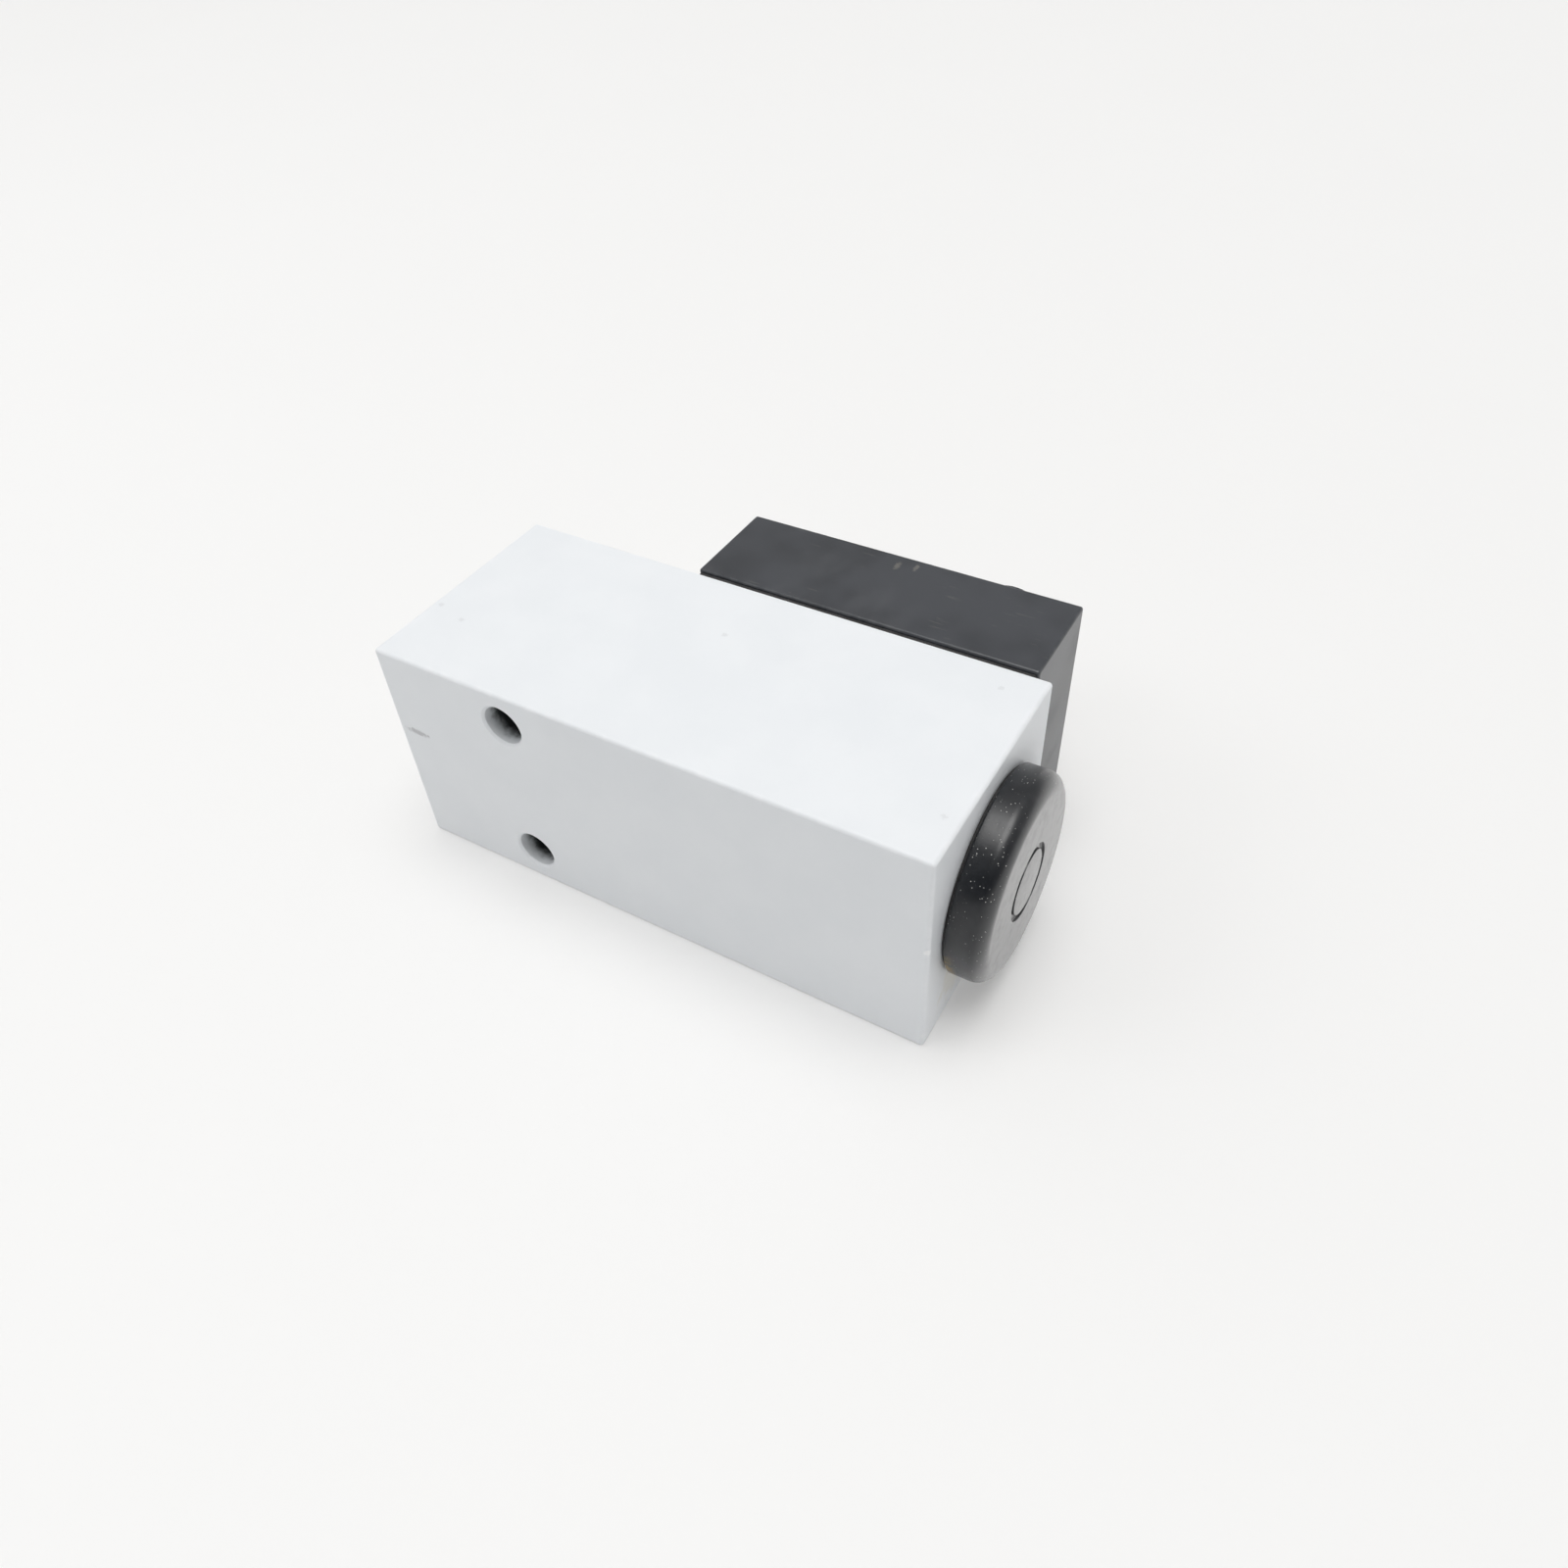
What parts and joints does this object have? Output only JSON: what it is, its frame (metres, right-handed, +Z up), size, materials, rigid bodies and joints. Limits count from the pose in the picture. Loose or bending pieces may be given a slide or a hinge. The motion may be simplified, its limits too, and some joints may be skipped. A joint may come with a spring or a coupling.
{
  "type": "hydraulic monoblock valve",
  "caption": "Square monoblock pressure valve with two through bolt holes, a domed black end cap over its adjusting screw and a black electrical switch housing on its back",
  "frame": {"origin": "centre of the two mounting holes, on the front mounting face", "axes": "+X along the block towards the end cap, +Y into the block and on to the switch housing, +Z up"},
  "size_m": [0.081, 0.0617, 0.032],
  "materials": {
    "powder_coat": "light grey semi-gloss powder coat",
    "housing_plastic": "matte black moulded plastic, fine grain",
    "cap_plastic": "black moulded plastic, semi-gloss",
    "black_rubber": "black nitrile rubber",
    "white_ptfe": "white fluoroplastic",
    "brass": "turned",
    "ground_steel": "hardened and ground",
    "spring_steel": "oil-tempered wire",
    "zinc_steel": "bright zinc plated",
    "turned_steel": "turned",
    "stainless_sheet": "rolled sheet",
    "switch_black": "moulded",
    "switch_red": "moulded",
    "gold_contact": "gold flashed",
    "nickel_brass": "nickel-plated brass",
    "wire_sheath": "soft vinyl sheath"
  },
  "bodies": {
    "block": {"monoblock_body": "powder_coat", "damping_nozzle": "brass", "guide_sleeve": "ground_steel", "sleeve_o_ring": "black_rubber", "piston_o_ring": "black_rubber", "backup_ring": "white_ptfe", "range_spring": "spring_steel", "retaining_ring": "spring_steel", "switch_bracket": "stainless_sheet", "bracket_screws": "zinc_steel", "lever_pin": "ground_steel", "microswitch_case": "switch_black", "microswitch_base": "switch_red", "switch_terminals": "gold_contact", "microswitch_screws": "zinc_steel", "microswitch_nuts": "zinc_steel", "switch_housing": "housing_plastic", "housing_gasket": "black_rubber", "housing_screws": "zinc_steel", "connector_shell": "housing_plastic", "connector_insert": "switch_black", "contact_pins": "gold_contact", "connector_seal": "black_rubber", "connector_nut": "nickel_brass", "lead_wires": "wire_sheath"},
    "piston": {"piston": "ground_steel", "spring_plate": "turned_steel"},
    "lever": {"switch_lever": "stainless_sheet"},
    "plunger": {"switch_plunger": "switch_red"},
    "seat": {"upper_spring_seat": "turned_steel", "thrust_ball": "ground_steel"},
    "adjuster": {"adjusting_screw": "turned_steel"},
    "cap": {"adjuster_cap": "cap_plastic", "cap_seal": "black_rubber"}
  },
  "joints": [
    {"name": "piston_stroke", "type": "slide", "parent": "block", "child": "piston", "axis": [1, 0, 0], "range_m": [0, 0.0008], "stiffness_N_per_m": 400, "springref_m": -0.004, "deforming": ["range_spring"]},
    {"name": "lever_tip", "type": "hinge", "parent": "block", "child": "lever", "pos_m": [0.018, 0.0352, 0], "axis": [0, 0, 1], "range_deg": [0, 4.6]},
    {"name": "plunger_press", "type": "slide", "parent": "block", "child": "plunger", "axis": [0, 1, 0], "range_m": [0, 0.0004]},
    {"name": "seat_advance", "type": "slide", "parent": "block", "child": "seat", "axis": [-1, 0, 0], "range_m": [-0.0015, 0.004], "deforming": ["range_spring"]},
    {"name": "adjuster_turn", "type": "hinge", "parent": "seat", "child": "adjuster", "pos_m": [0.0457, 0.016, 0], "axis": [-1, 0, 0], "range_deg": [-541, 1441]},
    {"name": "cap_pull", "type": "slide", "parent": "block", "child": "cap", "axis": [1, 0, 0], "range_m": [0, 0.012]}
  ],
  "couplings": [
    {"joint": "lever_tip", "follows": "piston_stroke", "rad_per_m": 94.34},
    {"joint": "plunger_press", "follows": "piston_stroke", "ratio": 0.4811},
    {"joint": "adjuster_turn", "follows": "seat_advance", "rad_per_m": 6283.2}
  ]
}
